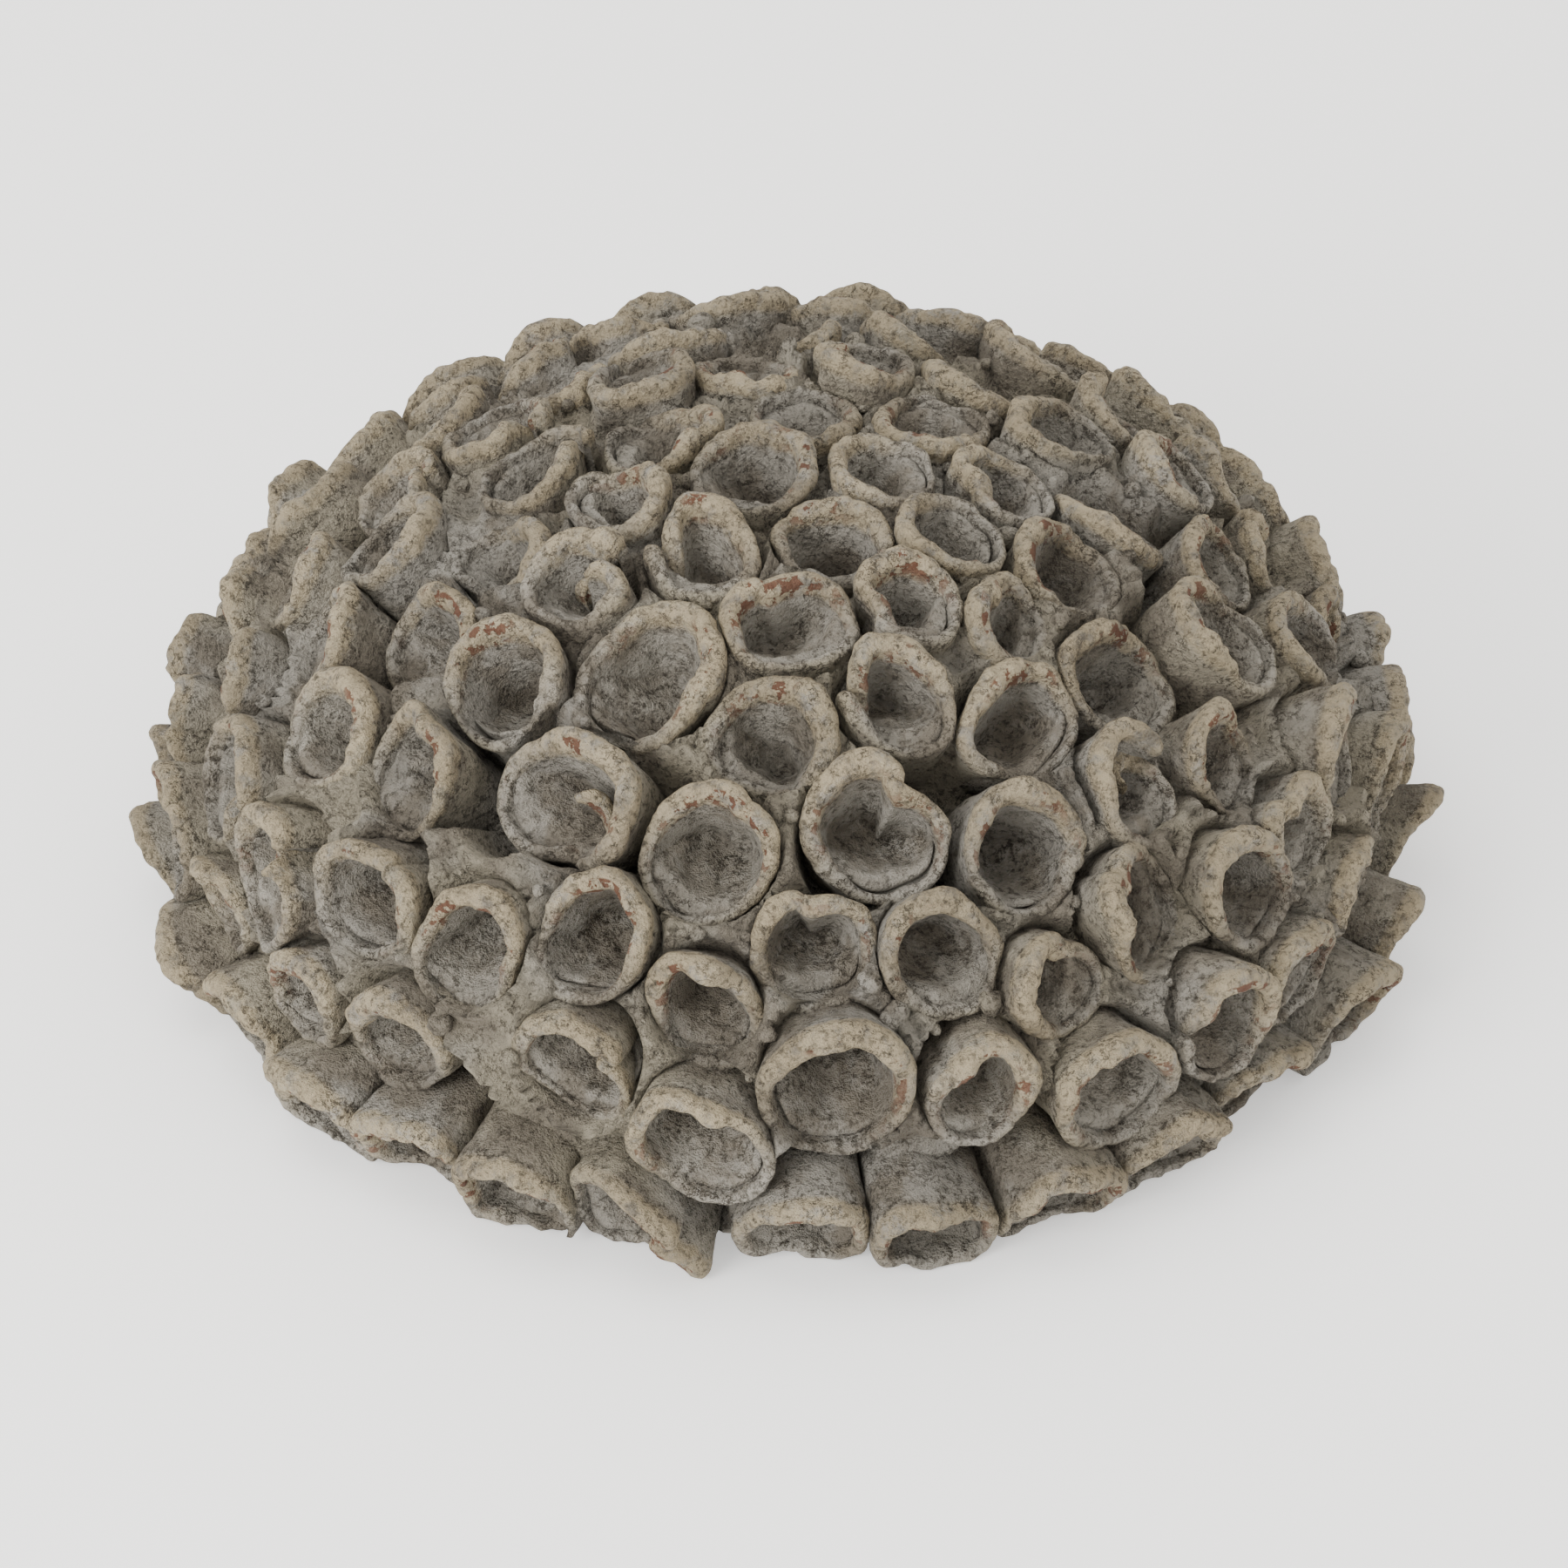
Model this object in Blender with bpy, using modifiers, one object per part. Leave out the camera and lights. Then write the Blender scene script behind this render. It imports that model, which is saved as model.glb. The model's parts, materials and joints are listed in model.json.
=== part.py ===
"""A domed flower frog of fired clay: a hollow dome studded all over with small rolled clay cups.

The dome is hand built over a hump and open below. Each cup is a little slab of clay rolled round a
finger, closed at its foot and luted to the dome with slip, so a cup is pressed flat wherever it meets a
neighbour or the board it dried on. Nothing moves.

Metres, +Z up. The origin is on the table under the middle of the dome, and bearing 0 is the front, -Y.
"""

from math import cos, degrees, pi, radians, sin

import bmesh
import bpy
import numpy as np
from mathutils import Matrix, Vector

# Driving dimensions.
REACH_RADIUS = 0.1205     # middle of the dome to the mouths of the widest cups
REACH_RISE = 0.0795       # widest level up to the mouths of the top cups
WIDEST_LEVEL = 0.016      # widest level above the table
CUP_LENGTH = 0.020        # from the dome up to a cup's mouth
DOME_WALL = 0.007
PITCH = 0.0238            # from one cup to the next
PROUD = 0.0024            # how far a mouth may stand out of the rest, or back
CUP_WALL = 0.0028
JOINT_GAP = 0.0003        # between separate pieces
LUTED_BITE = 0.0011       # how far two cups of one cluster run into each other
COIL_LEVEL = 0.0042       # middle of the coil that lutes two cups of a cluster, above the dome
COIL_THICKNESS = 0.004
TABLE_GAP = 0.0004        # the dome alone stands on the table

# The dome that the cups stand on lies one cup's length inside their mouths.
DOME_RADIUS = REACH_RADIUS - CUP_LENGTH
DOME_RISE = REACH_RISE - CUP_LENGTH

# Rows of cups from the crown down: the rise of the mouths in degrees, as an ellipse's angle measured
# from the widest level, and how many cups go round.
ROWS = ((89, 1), (78.5, 6), (68, 12), (57.5, 17), (47, 22), (36.5, 26), (25, 29), (12, 30), (-5, 30))
CROWN_ROWS = 2            # above this row every cup is a cluster of its own
LIP_ROW = 8               # the lowest row, whose mouths hang over the table
CLUSTERS = 57             # how many bodies the cups are luted into
LUTING_REACH = 1.22       # cups are luted where they lie nearer than this many times their two radii

# The cups that the maker set first, by hand: bearing and rise in degrees, mouth radius in millimetres.
# The other cups fill the rows between them.
SET_FIRST = (
    (0, 88, 12.0), (-30, 77, 12.0), (-75, 77, 10.2), (-118, 76, 11.5), (20, 79, 11.8), (85, 80, 11.0),
    (5, 70, 12.2), (33, 69, 9.6), (50, 74, 10.5), (-52, 68, 11.3), (-74, 65, 10.8), (-96, 66, 12.0),
    (-26, 61, 14.2), (0, 58, 12.2), (19, 61, 11.8), (45, 62, 9.2), (34, 56, 12.2), (57, 53, 12.8),
    (77, 64, 12.2), (-46, 53, 12.2), (-67, 53, 11.8), (-27, 46, 13.4), (-9, 45, 13.8), (9, 46, 13.5),
    (28, 42, 13.0), (41, 45, 11.0), (75, 45, 12.5), (-55, 44, 11.8), (-19, 34, 12.0), (-31, 30, 12.0),
    (-45, 27, 12.6), (-8, 29, 11.4), (5, 35, 11.4), (14, 32, 11.8), (27, 25, 10.8), (38, 31, 12.2),
    (-19, 20, 12.0), (4, 19, 14.0), (16, 18, 12.0), (-7, 8, 12.6),
)
USUAL_RADIUS = 0.0115     # mouth radius of the cups between them
SETTLING_STEPS = 100      # how often the cups are nudged apart until they sit side by side
SEED = 11

SIDES = 10                # facets round a cup
DOME_STEPS = 40           # facets round the dome
DOME_RINGS = 9            # facets from its crown to its foot


def on_reach(bearing, rise):
    """Points on the flattened dome that the mouths lie on, from bearings and rises in radians."""
    across = REACH_RADIUS * np.cos(rise)
    return np.stack(
        [across * np.sin(bearing), -across * np.cos(bearing), WIDEST_LEVEL + REACH_RISE * np.sin(rise)],
        axis=-1,
    )


def row_cups(chance):
    """Bearing, rise, mouth radius and row of every cup before settling; cups set first come first."""
    bearings = [radians(b) for b, _, _ in SET_FIRST]
    rises = [radians(r) for _, r, _ in SET_FIRST]
    radii = [mm / 1000 for _, _, mm in SET_FIRST]
    rows = [int(np.argmin([abs(r - row[0]) for row in ROWS])) for _, r, _ in SET_FIRST]
    taken = on_reach(np.array(bearings), np.array(rises))
    for row, (rise, count) in enumerate(ROWS):
        start = chance.uniform(0, 2 * pi / count)
        for k in range(count):
            bearing = (start + 2 * pi * k / count + chance.normal(0, 0.03) + pi) % (2 * pi) - pi
            lifted = radians(rise) + (chance.normal(0, 0.02) if row < LIP_ROW else 0)
            here = on_reach(np.array(bearing), np.array(lifted))
            radius = USUAL_RADIUS * chance.uniform(0.86, 1.12)
            if np.linalg.norm(taken - here, axis=1).min() > 0.8 * PITCH:
                bearings.append(bearing)
                rises.append(lifted)
                radii.append(radius)
                rows.append(row)
    return np.array(bearings), np.array(rises), np.array(radii), np.array(rows)


def settled(bearing, rise, radius, row):
    """Nudges the cups apart until neighbours lie about their two radii apart; those set first move less."""
    ease = np.where(np.arange(len(bearing)) < len(SET_FIRST), 0.08, 0.3)[:, None]
    for _ in range(SETTLING_STEPS):
        place = on_reach(bearing, rise)
        apart = place[:, None] - place[None]
        distance = np.linalg.norm(apart, axis=2) + np.eye(len(place))
        wanted = 1.03 * (radius[:, None] + radius[None])
        push = np.clip(wanted - distance, 0, None) * (1 - np.eye(len(place)))
        moved = place + (apart / distance[..., None] * push[..., None]).sum(axis=1) * ease
        bearing = np.arctan2(moved[:, 0], -moved[:, 1])
        across = np.hypot(moved[:, 0], moved[:, 1]) / REACH_RADIUS
        new_rise = np.arctan2((moved[:, 2] - WIDEST_LEVEL) / REACH_RISE, across)
        rise = np.where(row < LIP_ROW, np.maximum(new_rise, radians(6)), rise)
    return bearing, rise


def on_dome(bearing, rise):
    """A point on the outside of the dome and the dome's outward direction there."""
    level = DOME_RADIUS * cos(rise)
    point = np.array([level * sin(bearing), -level * cos(bearing), WIDEST_LEVEL + DOME_RISE * sin(rise)])
    outward = (point - np.array([0, 0, WIDEST_LEVEL])) / np.array([DOME_RADIUS, DOME_RADIUS, DOME_RISE]) ** 2
    return point, outward / np.linalg.norm(outward)


def lay_out():
    """Every cup as a dictionary: row, mouth, foot, axis, side and up directions, radius and depth."""
    chance = np.random.RandomState(SEED)
    bearing, rise, radius, row = row_cups(chance)
    bearing, rise = settled(bearing, rise, radius, row)
    mouths = on_reach(bearing, rise)
    cups = []
    for k in np.lexsort((bearing, row)):
        uphill = radians(np.clip(3 - 0.12 * degrees(rise[k]), -1.2, 3.6))  # low cups droop, high ones look up
        foot, outward = on_dome(bearing[k] + chance.normal(0, 0.008), rise[k] + uphill)
        foot = foot + outward * JOINT_GAP
        axis = (mouths[k] - foot) / np.linalg.norm(mouths[k] - foot)
        proud = chance.uniform(-PROUD, PROUD)
        side = np.array([cos(bearing[k]), sin(bearing[k]), 0.0])
        side = side - axis * (side @ axis)
        side = side / np.linalg.norm(side)
        cups.append(
            {
                "row": int(row[k]),
                "bearing": degrees(bearing[k]),
                "mouth": mouths[k] + axis * proud,
                "foot": foot,
                "outward": outward,
                "axis": axis,
                "side": side,
                "up": np.cross(axis, side),
                "radius": radius[k],
                "depth": chance.uniform(0.45, 0.62),
            }
        )
    return cups


def clusters_of(cups):
    """Lists of cups luted into one body: the smallest cluster joins its best neighbour, time after time."""
    mouths = np.array([cup["mouth"] for cup in cups])
    radii = np.array([cup["radius"] for cup in cups])
    rows = np.array([cup["row"] for cup in cups])
    spacing = np.linalg.norm(mouths[:, None] - mouths[None], axis=2) / (radii[:, None] + radii[None])
    clusters = [[k] for k in range(len(cups)) if rows[k] < CROWN_ROWS]
    crown = len(clusters)
    clusters += [[k] for k in range(len(cups)) if rows[k] >= CROWN_ROWS]
    while len(clusters) > CLUSTERS:
        choices = []
        for a in range(crown, len(clusters)):
            for b in range(crown, a):
                first, second = clusters[a], clusters[b]
                near = spacing[np.ix_(first, second)].min()
                if near < LUTING_REACH:
                    tall = np.ptp(rows[first + second])
                    choices.append((max(len(first), len(second)), len(first + second), tall, near, a, b))
        *_, a, b = min(choices)
        clusters[b] = sorted(clusters[b] + clusters[a])
        del clusters[a]
    return sorted(clusters)


def pressing_planes(k, cups, cluster):
    """Planes that cup k is pressed against, each a point and the direction that the cup stays behind."""
    cup = cups[k]
    planes = [(np.array([0, 0, TABLE_GAP]), np.array([0, 0, -1.0]))]
    for j, other in enumerate(cups):
        if j == k or np.linalg.norm(other["mouth"] - cup["mouth"]) > 2.4 * PITCH:
            continue
        share = cup["radius"] / (cup["radius"] + other["radius"])
        top = cup["mouth"] + share * (other["mouth"] - cup["mouth"])
        bottom = cup["foot"] + share * (other["foot"] - cup["foot"])
        along = (top - bottom) / np.linalg.norm(top - bottom)
        across = other["mouth"] - cup["mouth"] + other["foot"] - cup["foot"]
        across = across - along * (across @ along)
        across = across / np.linalg.norm(across)
        gap = np.linalg.norm(other["mouth"] - cup["mouth"]) / (cup["radius"] + other["radius"])
        past = LUTED_BITE if j in cluster and gap < LUTING_REACH else -JOINT_GAP
        planes.append((bottom + across * past, across))
    return planes


def pressed(centre, direction, reach, planes):
    """The point that far from the centre, or nearer where a plane is in the way."""
    for point, across in planes:
        closing = direction @ across
        if closing > 1e-6:
            reach = min(reach, (point - centre) @ across / closing)
    return centre + direction * max(reach, 0.001)


def cup_mesh(k, cups, cluster):
    """One cup: a loft from its pressed foot on the dome, up to its rim, and down to its floor inside."""
    cup = cups[k]
    planes = pressing_planes(k, cups, cluster)
    axis, side, up, outward = cup["axis"], cup["side"], cup["up"], cup["outward"]
    length = np.linalg.norm(cup["mouth"] - cup["foot"])
    slant = 0.08 * cup["radius"]
    rings = []
    for level, radius in ((0.0, 0.94), (1.0, 1.0)):
        ring = []
        for turn in np.arange(SIDES) * 2 * pi / SIDES:
            direction = side * cos(turn) + up * sin(turn)
            centre = cup["foot"] + axis * length * level + axis * slant * sin(turn) * level
            if level == 0:  # the foot lies flat against the dome
                direction = direction - axis * (direction @ outward) / (axis @ outward)
            ring.append(pressed(centre, direction, radius * cup["radius"], planes))
        rings.append(np.array(ring))
    foot, rim = rings
    middle = cup["mouth"] + axis * slant * np.sin(np.arange(SIDES) * 2 * pi / SIDES)[:, None]
    reach = np.linalg.norm(rim - middle, axis=1, keepdims=True)
    inner_rim = middle + (rim - middle) * np.clip((reach - CUP_WALL) / reach, 0.3, 1)
    floor_centre = cup["mouth"] - axis * length * cup["depth"]
    floor = floor_centre + (inner_rim - middle) * 0.72

    made = bmesh.new()
    loops = [[made.verts.new(Vector(p)) for p in ring] for ring in (foot, rim, inner_rim, floor)]
    for lower, upper in zip(loops, loops[1:]):
        for m in range(SIDES):
            n = (m + 1) % SIDES
            made.faces.new((lower[m], lower[n], upper[n], upper[m]))
    made.faces.new(reversed(loops[0]))
    made.faces.new(loops[-1])
    bmesh.ops.recalc_face_normals(made, faces=made.faces)
    bmesh.ops.triangulate(made, faces=made.faces)
    return made


def luting_pairs(members, cups):
    """Which cups of a cluster are joined by a coil of clay: each in turn to its nearest one joined before."""
    joined, waiting, pairs = members[:1], members[1:], []
    while waiting:
        lengths = [(np.linalg.norm(cups[a]["foot"] - cups[b]["foot"]), a, b) for a in joined for b in waiting]
        _, a, b = min(lengths)
        pairs.append((a, b))
        joined = joined + [b]
        waiting = [k for k in waiting if k != b]
    return pairs


def coil_mesh(first, second):
    """A squared coil of clay from the solid floor of one cup to the floor of its neighbour."""
    start, end = (Vector(cup["foot"] + cup["axis"] * COIL_LEVEL) for cup in (first, second))
    turn = (end - start).to_track_quat("Z", "Y").to_matrix().to_4x4()
    size = Matrix.Diagonal((COIL_THICKNESS, COIL_THICKNESS, (end - start).length, 1))
    made = bmesh.new()
    bmesh.ops.create_cube(made, size=1, matrix=Matrix.Translation((start + end) / 2) @ turn @ size)
    return made


def clay(name, tone):
    """Fired clay under a worn coat of pale slip; tone lightens or darkens it a little."""
    material = bpy.data.materials.new(name)
    material.use_nodes = True
    shader = material.node_tree.nodes["Principled BSDF"]
    shader.inputs["Base Color"].default_value = (0.23 * tone, 0.20 * tone, 0.16 * tone, 1)
    shader.inputs["Roughness"].default_value = 0.92
    shader.inputs["Metallic"].default_value = 0
    return material


def new_object(name, mesh, collection, tone):
    made = bpy.data.objects.new(name, mesh)
    collection.objects.link(made)
    mesh.materials.append(clay(name + "_clay", tone))
    return made


def make_dome(collection):
    """The hollow dome: its section turned about Z, down the outside, across the foot and up inside."""

    def arc(radius, rise, steps):
        foot = -np.arcsin(WIDEST_LEVEL / rise)
        turn = np.linspace(pi / 2, foot, steps)
        return [(radius * cos(a), WIDEST_LEVEL + rise * sin(a)) for a in turn]

    outside = arc(DOME_RADIUS, DOME_RISE, DOME_RINGS)
    inside = arc(DOME_RADIUS - DOME_WALL, DOME_RISE - DOME_WALL, DOME_RINGS)[::-1]
    section = outside + inside
    mesh = bpy.data.meshes.new("dome_body")
    points = [(max(x, 0), 0, z) for x, z in section]
    points[0] = (0, 0, points[0][2])
    points[-1] = (0, 0, points[-1][2])
    mesh.from_pydata(points, [(i, i + 1) for i in range(len(points) - 1)], [])
    dome = new_object("dome_body", mesh, collection, 0.8)
    turning = dome.modifiers.new("turned", "SCREW")
    turning.steps = turning.render_steps = DOME_STEPS
    turning.use_merge_vertices = True
    turning.merge_threshold = 0.00005
    turning.use_smooth_shade = True
    return dome


def make_cluster(name, members, cups, collection, cutters, tone):
    """One node: its cups and the coils between them, made one body by Boolean unions."""
    shapes = [cup_mesh(k, cups, members) for k in members]
    shapes += [coil_mesh(cups[a], cups[b]) for a, b in luting_pairs(members, cups)]
    meshes = []
    for number, shape in enumerate(shapes, start=1):
        meshes.append(bpy.data.meshes.new(f"{name}_{number}"))
        shape.to_mesh(meshes[-1])
        shape.free()
    cluster = new_object(name, meshes[0], collection, tone)
    for number, mesh in enumerate(meshes[1:], start=2):
        other = bpy.data.objects.new(f"{name}_{number}", mesh)
        cutters.objects.link(other)
        other.hide_render = True
        other.display_type = "WIRE"
        luting = cluster.modifiers.new(f"luted_{number}", "BOOLEAN")
        luting.operation = "UNION"
        luting.solver = "EXACT"
        luting.object = other
    return cluster


def main():
    for old in list(bpy.data.objects):
        bpy.data.objects.remove(old, do_unlink=True)
    frog = bpy.data.collections.new("flower_frog")
    cutters = bpy.data.collections.new("joined_cups")
    bpy.context.scene.collection.children.link(frog)
    bpy.context.scene.collection.children.link(cutters)

    make_dome(frog)
    cups = lay_out()
    number = {}
    for members in clusters_of(cups):
        row = cups[members[0]]["row"] + 1
        number[row] = number.get(row, 0) + 1
        kind = "cup" if len(members) == 1 else "cups"
        tone = 0.92 + 0.08 * (number[row] % 3)
        make_cluster(f"{kind}_row{row}_{number[row]:02d}", members, cups, frog, cutters, tone)
    print(f"{len(cups)} cups in {sum(number.values())} clusters")


main()
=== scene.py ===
# %% [markdown]
# # A flower frog of rolled clay cups
# A flower frog stands in a bowl or on a tray and holds flower stems. This one is a low, hollow dome of
# red earthenware, studded all over with about 160 little cups. The maker rolled each cup from a slab of
# clay round a finger, closed it with the thumb, luted it to the dome with wet slip, and brushed the
# fired piece with a pale wash that has since worn off the lips.
#
# The imported CAD model comes in first. It fixes every place and size.

import json
from math import cos, degrees, pi, radians, sin

import bpy
import numpy as np
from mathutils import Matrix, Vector

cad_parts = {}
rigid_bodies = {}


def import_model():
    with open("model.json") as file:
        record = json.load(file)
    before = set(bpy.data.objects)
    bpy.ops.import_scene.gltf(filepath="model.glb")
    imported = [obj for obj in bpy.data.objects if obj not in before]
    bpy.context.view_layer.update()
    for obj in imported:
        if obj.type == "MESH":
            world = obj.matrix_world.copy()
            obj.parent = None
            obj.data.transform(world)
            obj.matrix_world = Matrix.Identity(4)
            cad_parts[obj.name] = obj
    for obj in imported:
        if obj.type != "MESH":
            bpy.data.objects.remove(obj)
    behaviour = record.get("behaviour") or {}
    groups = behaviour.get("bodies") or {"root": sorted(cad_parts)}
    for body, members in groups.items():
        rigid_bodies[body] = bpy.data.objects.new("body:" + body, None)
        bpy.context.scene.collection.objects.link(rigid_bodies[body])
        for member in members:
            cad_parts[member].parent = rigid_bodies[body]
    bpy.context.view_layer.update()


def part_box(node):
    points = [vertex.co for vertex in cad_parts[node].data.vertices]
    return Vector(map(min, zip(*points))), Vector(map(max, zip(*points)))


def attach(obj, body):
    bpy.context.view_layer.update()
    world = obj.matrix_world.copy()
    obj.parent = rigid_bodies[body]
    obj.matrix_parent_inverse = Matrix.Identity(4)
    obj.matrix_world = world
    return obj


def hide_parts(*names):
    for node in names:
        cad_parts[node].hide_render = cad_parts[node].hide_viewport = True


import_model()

# %% [markdown]
# ## Where the cups stand
# Hand work like this follows a rule with small mistakes in it: rows of cups round a flattened dome,
# each cup about one pitch from the next. Forty cups at the front and on the crown don't come from the
# rule. They are placed one by one in SET_FIRST, by numbers read off and measured. The rows are
# filled up round them, and then all the cups are nudged apart until they sit side by side. The CAD model
# was made with the same numbers and the same rule, so each detailed cup lands on its plain one. SEED was
# picked out of about a dozen, for how evenly the cups pack.

# %% The dome's own sizes, in metres
REACH_RADIUS = 0.1205
REACH_RISE = 0.0795
WIDEST_LEVEL = 0.016
CUP_LENGTH = 0.020
DOME_WALL = 0.007
PITCH = 0.0238
PROUD = 0.0024
TABLE_GAP = 0.0004
DOME_RADIUS = REACH_RADIUS - CUP_LENGTH
DOME_RISE = REACH_RISE - CUP_LENGTH
ROWS = ((89, 1), (78.5, 6), (68, 12), (57.5, 17), (47, 22), (36.5, 26), (25, 29), (12, 30), (-5, 30))
CROWN_ROWS = 2
LIP_ROW = 8
CLUSTERS = 57
LUTING_REACH = 1.22
SET_FIRST = (
    (0, 88, 12.0), (-30, 77, 12.0), (-75, 77, 10.2), (-118, 76, 11.5), (20, 79, 11.8), (85, 80, 11.0),
    (5, 70, 12.2), (33, 69, 9.6), (50, 74, 10.5), (-52, 68, 11.3), (-74, 65, 10.8), (-96, 66, 12.0),
    (-26, 61, 14.2), (0, 58, 12.2), (19, 61, 11.8), (45, 62, 9.2), (34, 56, 12.2), (57, 53, 12.8),
    (77, 64, 12.2), (-46, 53, 12.2), (-67, 53, 11.8), (-27, 46, 13.4), (-9, 45, 13.8), (9, 46, 13.5),
    (28, 42, 13.0), (41, 45, 11.0), (75, 45, 12.5), (-55, 44, 11.8), (-19, 34, 12.0), (-31, 30, 12.0),
    (-45, 27, 12.6), (-8, 29, 11.4), (5, 35, 11.4), (14, 32, 11.8), (27, 25, 10.8), (38, 31, 12.2),
    (-19, 20, 12.0), (4, 19, 14.0), (16, 18, 12.0), (-7, 8, 12.6),
)
USUAL_RADIUS = 0.0115
SETTLING_STEPS = 100
SEED = 11
print(sum(count for _, count in ROWS), "places in the rows,", len(SET_FIRST), "cups set first")

# %% [markdown]
# ### Rows round the dome
# ROWS gives each row's rise in degrees and its number of places, from the crown down. SET_FIRST gives the
# bearing and rise in degrees and the mouth's radius in mm of the cups set first. A place in a row is left
# out where a cup set first already stands closer than 0.8 of a pitch.


# %% Fill the rows
def on_reach(bearing, rise):
    """Points on the flattened dome that the mouths lie on, from bearings and rises in radians."""
    across = REACH_RADIUS * np.cos(rise)
    return np.stack(
        [across * np.sin(bearing), -across * np.cos(bearing), WIDEST_LEVEL + REACH_RISE * np.sin(rise)],
        axis=-1,
    )


def row_cups(chance):
    """Bearing, rise, mouth radius and row of every cup before settling; cups set first come first."""
    bearings = [radians(b) for b, _, _ in SET_FIRST]
    rises = [radians(r) for _, r, _ in SET_FIRST]
    radii = [mm / 1000 for _, _, mm in SET_FIRST]
    rows = [int(np.argmin([abs(r - row[0]) for row in ROWS])) for _, r, _ in SET_FIRST]
    taken = on_reach(np.array(bearings), np.array(rises))
    for row, (rise, count) in enumerate(ROWS):
        start = chance.uniform(0, 2 * pi / count)
        for k in range(count):
            bearing = (start + 2 * pi * k / count + chance.normal(0, 0.03) + pi) % (2 * pi) - pi
            lifted = radians(rise) + (chance.normal(0, 0.02) if row < LIP_ROW else 0)
            here = on_reach(np.array(bearing), np.array(lifted))
            radius = USUAL_RADIUS * chance.uniform(0.86, 1.12)
            if np.linalg.norm(taken - here, axis=1).min() > 0.8 * PITCH:
                bearings.append(bearing)
                rises.append(lifted)
                radii.append(radius)
                rows.append(row)
    return np.array(bearings), np.array(rises), np.array(radii), np.array(rows)


chance = np.random.RandomState(SEED)
bearing, rise, radius, row = row_cups(chance)
print(len(bearing), "cups in", len(ROWS), "rows")

# %% [markdown]
# ### Nudged until they sit side by side
# Each cup wants its neighbours about their two radii away. Where one is nearer, it is pushed off by a
# share of what is missing, and then put back on the dome. Those placed singly give way less. A hundred
# small pushes are enough.

# %% Settle the cups
FIRST_EASE = 0.08
EASE = 0.3
ROOM = 1.03
LOWEST_RISE = radians(6)


def settled(bearing, rise, radius, row):
    """Pushes each cup by ease * (room * two radii - distance) from every neighbour that is too near."""
    ease = np.where(np.arange(len(bearing)) < len(SET_FIRST), FIRST_EASE, EASE)[:, None]
    for _ in range(SETTLING_STEPS):
        place = on_reach(bearing, rise)
        apart = place[:, None] - place[None]
        distance = np.linalg.norm(apart, axis=2) + np.eye(len(place))
        wanted = ROOM * (radius[:, None] + radius[None])
        push = np.clip(wanted - distance, 0, None) * (1 - np.eye(len(place)))
        moved = place + (apart / distance[..., None] * push[..., None]).sum(axis=1) * ease
        bearing = np.arctan2(moved[:, 0], -moved[:, 1])
        across = np.hypot(moved[:, 0], moved[:, 1]) / REACH_RADIUS
        new_rise = np.arctan2((moved[:, 2] - WIDEST_LEVEL) / REACH_RISE, across)
        rise = np.where(row < LIP_ROW, np.maximum(new_rise, LOWEST_RISE), rise)
    return bearing, rise


bearing, rise = settled(bearing, rise, radius, row)
print("lowest cup rises", round(degrees(rise.min()), 1), "degrees")

# %% [markdown]
# ### From a mouth to a whole cup
# So far a cup is only a mouth. Its foot stands on the dome a little below or above it: low cups droop and
# high cups look up. The way from foot to mouth is the cup's axis, and two directions across it, level and
# uphill, make the frame in which the cup is drawn.


# %% Give each cup its foot and its directions
def on_dome(bearing, rise):
    """A point on the outside of the dome and the outward direction: its place over the squared half sizes."""
    level = DOME_RADIUS * cos(rise)
    point = np.array([level * sin(bearing), -level * cos(bearing), WIDEST_LEVEL + DOME_RISE * sin(rise)])
    outward = (point - np.array([0, 0, WIDEST_LEVEL])) / np.array([DOME_RADIUS, DOME_RADIUS, DOME_RISE]) ** 2
    return point, outward / np.linalg.norm(outward)


def whole_cups(chance, bearing, rise, radius, row):
    """Every cup as a dictionary: row, mouth, foot, axis, side and up directions, and radius."""
    mouths = on_reach(bearing, rise)
    cups = []
    for k in np.lexsort((bearing, row)):
        uphill = radians(np.clip(3 - 0.12 * degrees(rise[k]), -1.2, 3.6))
        foot, outward = on_dome(bearing[k] + chance.normal(0, 0.008), rise[k] + uphill)
        foot = foot + outward * 0.0003
        axis = (mouths[k] - foot) / np.linalg.norm(mouths[k] - foot)
        mouth = mouths[k] + axis * chance.uniform(-PROUD, PROUD)
        side = np.array([cos(bearing[k]), sin(bearing[k]), 0.0])
        side = side - axis * (side @ axis)
        side = side / np.linalg.norm(side)
        chance.uniform(0.45, 0.62)  # the plain cup's depth, drawn here too so that later draws stay in step
        cup = {"row": int(row[k]), "mouth": mouth, "foot": foot, "axis": axis, "side": side}
        cup["up"] = np.cross(axis, side)
        cup["radius"] = radius[k]
        cups.append(cup)
    return cups


cups = whole_cups(chance, bearing, rise, radius, row)
lengths = [np.linalg.norm(cup["mouth"] - cup["foot"]) * 1000 for cup in cups]
print("cups are", round(min(lengths), 1), "to", round(max(lengths), 1), "mm long")

# %% [markdown]
# ### Clusters
# Neighbouring cups are luted to each other, and the CAD model keeps two to four of them in one body. The
# smallest cluster joins its best neighbour, time after time, until few enough are left. Names follow the
# row of the first cup and a number in that row.


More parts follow.
